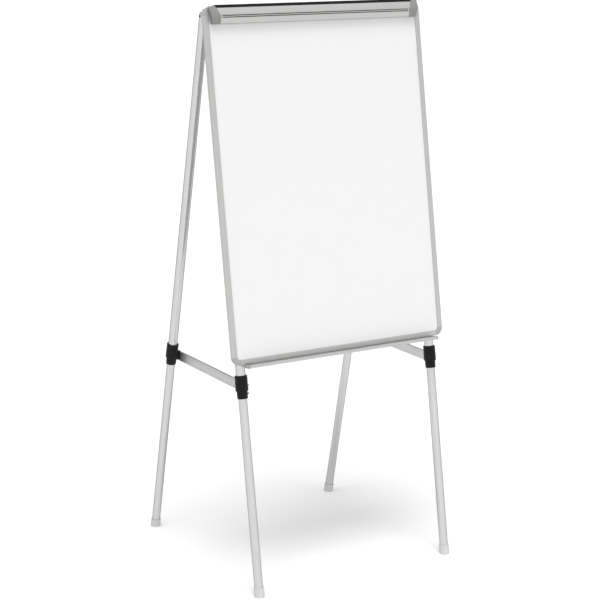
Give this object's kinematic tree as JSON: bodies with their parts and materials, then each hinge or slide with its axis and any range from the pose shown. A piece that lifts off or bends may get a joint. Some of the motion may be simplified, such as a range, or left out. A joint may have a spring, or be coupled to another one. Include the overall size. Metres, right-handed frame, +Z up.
{
  "type": "flipchart easel",
  "caption": "Free-standing flipchart easel: framed dry-wipe board on telescoping tube legs, folding rear legs, side stays, spring pad clamp and marker tray.",
  "frame": {"origin": "on the floor, under the middle of the rectangle round the footprint", "axes": "+X to the easel's right seen from its writing side, +Y towards the rear legs, +Z up"},
  "size_m": [0.71, 0.689, 1.6323],
  "materials": {
    "white_lacquered_steel": "glossy white dry-wipe lacquer",
    "honeycomb_core": "paper honeycomb board",
    "galvanised_backing": "matte galvanised grey",
    "frame_aluminium": "satin anodised",
    "tube_aluminium": "satin silver",
    "grey_plastic": "fine-grained grey moulding",
    "black_plastic": "black glass-filled nylon",
    "natural_nylon": "natural nylon",
    "steel": "zinc plated",
    "grip_rubber": "matte",
    "foot_rubber": "light grey rubber"
  },
  "bodies": {
    "easel": {"writing_sheet": "white_lacquered_steel", "board_core": "honeycomb_core", "back_sheet": "galvanised_backing", "rail_top": "frame_aluminium", "rail_bottom": "frame_aluminium", "rail_left": "frame_aluminium", "rail_right": "frame_aluminium", "frame_corners": "grey_plastic", "marker_tray": "frame_aluminium", "tray_end_caps": "grey_plastic", "clamp_rail": "frame_aluminium", "clamp_hinge_rod": "steel", "clamp_springs": "steel", "front_tube_left": "tube_aluminium", "front_tube_right": "tube_aluminium", "front_tube_plugs": "grey_plastic", "hinge_bracket_left": "black_plastic", "hinge_bracket_right": "black_plastic", "tube_clips": "black_plastic", "frame_screws": "steel", "collar_front_left": "black_plastic", "collar_front_right": "black_plastic", "front_collets": "natural_nylon", "stay_pivots": "steel"},
    "clamp": {"clamp_bar": "frame_aluminium", "clamp_cap_left": "grey_plastic", "clamp_cap_right": "grey_plastic", "clamp_grip_strip": "grip_rubber"},
    "hook_left": {"pad_hook_left": "black_plastic"},
    "hook_right": {"pad_hook_right": "black_plastic"},
    "rear_frame": {"rear_tube_left": "tube_aluminium", "rear_tube_right": "tube_aluminium", "rear_cross_tube": "tube_aluminium", "rear_tube_plugs": "grey_plastic", "cross_saddle_left": "black_plastic", "cross_saddle_right": "black_plastic", "collar_rear_left": "black_plastic", "collar_rear_right": "black_plastic", "rear_collets": "natural_nylon", "rear_screws": "steel"},
    "leg_front_left": {"lower_tube_front_left": "tube_aluminium", "guide_bush_front_left": "black_plastic", "foot_front_left": "foot_rubber"},
    "lock_front_left": {"lock_ring_front_left": "black_plastic"},
    "leg_front_right": {"lower_tube_front_right": "tube_aluminium", "guide_bush_front_right": "black_plastic", "foot_front_right": "foot_rubber"},
    "lock_front_right": {"lock_ring_front_right": "black_plastic"},
    "leg_rear_left": {"lower_tube_rear_left": "tube_aluminium", "guide_bush_rear_left": "black_plastic", "foot_rear_left": "foot_rubber"},
    "lock_rear_left": {"lock_ring_rear_left": "black_plastic"},
    "leg_rear_right": {"lower_tube_rear_right": "tube_aluminium", "guide_bush_rear_right": "black_plastic", "foot_rear_right": "foot_rubber"},
    "lock_rear_right": {"lock_ring_rear_right": "black_plastic"},
    "side_stay_left": {"stay_left": "tube_aluminium", "stay_stud_left": "steel"},
    "side_stay_right": {"stay_right": "tube_aluminium", "stay_stud_right": "steel"}
  },
  "joints": [
    {"name": "rear_legs_fold", "type": "hinge", "parent": "easel", "child": "rear_frame", "pos_m": [0, -0.0402, 1.59955], "axis": [-1, 0, 0], "range_deg": [0, 21]},
    {"name": "clamp_opens", "type": "hinge", "parent": "easel", "child": "clamp", "pos_m": [0, -0.10439, 1.62642], "axis": [-1, 0, 0], "range_deg": [0, 50], "stiffness_Nm_per_rad": 0.6, "springref_deg": -28.65, "deforming": ["clamp_springs"]},
    {"name": "pad_hook_left_slides", "type": "slide", "parent": "easel", "child": "hook_left", "axis": [1, 0, 0], "range_m": [-0.08, 0.14]},
    {"name": "pad_hook_right_slides", "type": "slide", "parent": "easel", "child": "hook_right", "axis": [-1, 0, 0], "range_m": [-0.08, 0.14]},
    {"name": "leg_front_left_extends", "type": "slide", "parent": "easel", "child": "leg_front_left", "axis": [0, -0.1564, -0.9877], "range_m": [-0.5, 0.36]},
    {"name": "lock_front_left_twists", "type": "hinge", "parent": "easel", "child": "lock_front_left", "pos_m": [-0.32, -0.23933, 0.568], "axis": [0, -0.1564, -0.9877], "range_deg": [0, 90]},
    {"name": "leg_front_right_extends", "type": "slide", "parent": "easel", "child": "leg_front_right", "axis": [0, -0.1564, -0.9877], "range_m": [-0.5, 0.36]},
    {"name": "lock_front_right_twists", "type": "hinge", "parent": "easel", "child": "lock_front_right", "pos_m": [0.32, -0.23933, 0.568], "axis": [0, -0.1564, -0.9877], "range_deg": [0, 90]},
    {"name": "leg_rear_left_extends", "type": "slide", "parent": "rear_frame", "child": "leg_rear_left", "axis": [0, 0.225, -0.9744], "range_m": [-0.5, 0.36]},
    {"name": "lock_rear_left_twists", "type": "hinge", "parent": "rear_frame", "child": "lock_rear_left", "pos_m": [-0.32, 0.19802, 0.56769], "axis": [0, 0.225, -0.9744], "range_deg": [0, 90]},
    {"name": "leg_rear_right_extends", "type": "slide", "parent": "rear_frame", "child": "leg_rear_right", "axis": [0, 0.225, -0.9744], "range_m": [-0.5, 0.36]},
    {"name": "lock_rear_right_twists", "type": "hinge", "parent": "rear_frame", "child": "lock_rear_right", "pos_m": [0.32, 0.19802, 0.56769], "axis": [0, 0.225, -0.9744], "range_deg": [0, 90]},
    {"name": "stay_left_lifts", "type": "hinge", "parent": "easel", "child": "side_stay_left", "pos_m": [-0.32, -0.21785, 0.57573], "axis": [1, 0, 0], "range_deg": [0, 80]},
    {"name": "stay_right_lifts", "type": "hinge", "parent": "easel", "child": "side_stay_right", "pos_m": [0.32, -0.21785, 0.57573], "axis": [1, 0, 0], "range_deg": [0, 80]}
  ]
}
